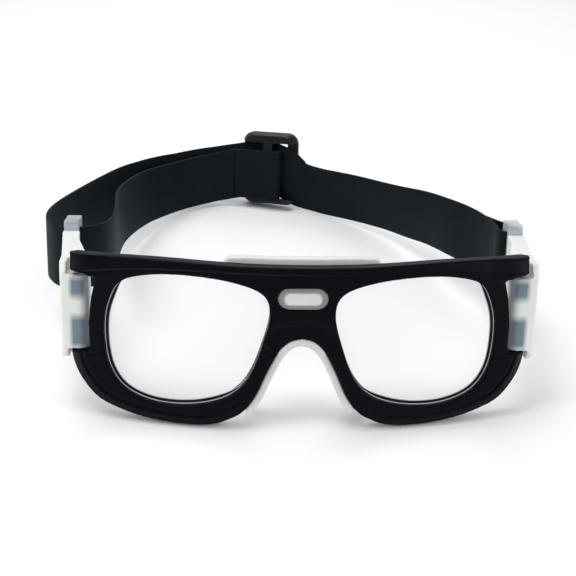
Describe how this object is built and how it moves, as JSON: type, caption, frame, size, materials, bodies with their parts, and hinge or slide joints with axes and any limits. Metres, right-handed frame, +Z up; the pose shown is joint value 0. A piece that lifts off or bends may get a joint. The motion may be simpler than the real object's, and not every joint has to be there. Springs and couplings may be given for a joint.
{
  "type": "sports protective goggles",
  "caption": "Wrap-front protective goggles with clear lenses, soft nose and brow pads, hinged rubber side arms and an elastic head strap that a slider adjusts.",
  "frame": {"origin": "where the bridge of the nose touches the top of the nose pad, on the middle plane", "axes": "+X to the wearer's left, +Y from the front towards the back of the head, +Z up, with the goggles leaning back about 10.4 degrees as they stand on a table"},
  "size_m": [0.1733, 0.2005, 0.054],
  "materials": {
    "frame_black": "matte with a soft satin sheen",
    "lens_clear": "clear polished polycarbonate",
    "pad_milky": "soft translucent silicone, satin",
    "arm_milky": "soft translucent rubber, satin",
    "leaf_grey": "grey moulded nylon",
    "ring_clear": "clear glossy plastic",
    "pin_steel": "plain steel",
    "webbing_navy": "woven elastic webbing",
    "thread_dark": "sewing thread",
    "slider_black": "moulded black plastic, satin"
  },
  "bodies": {
    "front": {"front_frame": "frame_black", "lens_left": "lens_clear", "lens_right": "lens_clear", "nose_pad": "pad_milky", "brow_pad": "pad_milky", "hinge_pin_left": "pin_steel", "hinge_pin_right": "pin_steel", "strap_band": "webbing_navy", "strap_return": "webbing_navy"},
    "left_arm": {"arm_left": "arm_milky", "hinge_leaf_left": "leaf_grey", "strap_ring_left": "ring_clear", "strap_end_left": "webbing_navy", "strap_stitch_left": "thread_dark"},
    "right_arm": {"arm_right": "arm_milky", "hinge_leaf_right": "leaf_grey", "strap_ring_right": "ring_clear", "strap_loop_right": "webbing_navy"},
    "slider": {"strap_slider": "slider_black", "strap_tail": "webbing_navy", "tail_stitch": "thread_dark"}
  },
  "joints": [
    {"name": "left_arm_hinge", "type": "hinge", "parent": "front", "child": "left_arm", "pos_m": [0.0705, 0.0081, 0.00817], "axis": [0, 0.1801, 0.9837], "range_deg": [-8, 50]},
    {"name": "right_arm_hinge", "type": "hinge", "parent": "front", "child": "right_arm", "pos_m": [-0.0705, 0.0081, 0.00817], "axis": [0, -0.1801, -0.9837], "range_deg": [-8, 50]},
    {"name": "strap_adjust", "type": "hinge", "parent": "front", "child": "slider", "pos_m": [-0.038, 0.08891, 0.00533], "axis": [0, -0.1801, -0.9837], "range_deg": [-3, 12]}
  ]
}
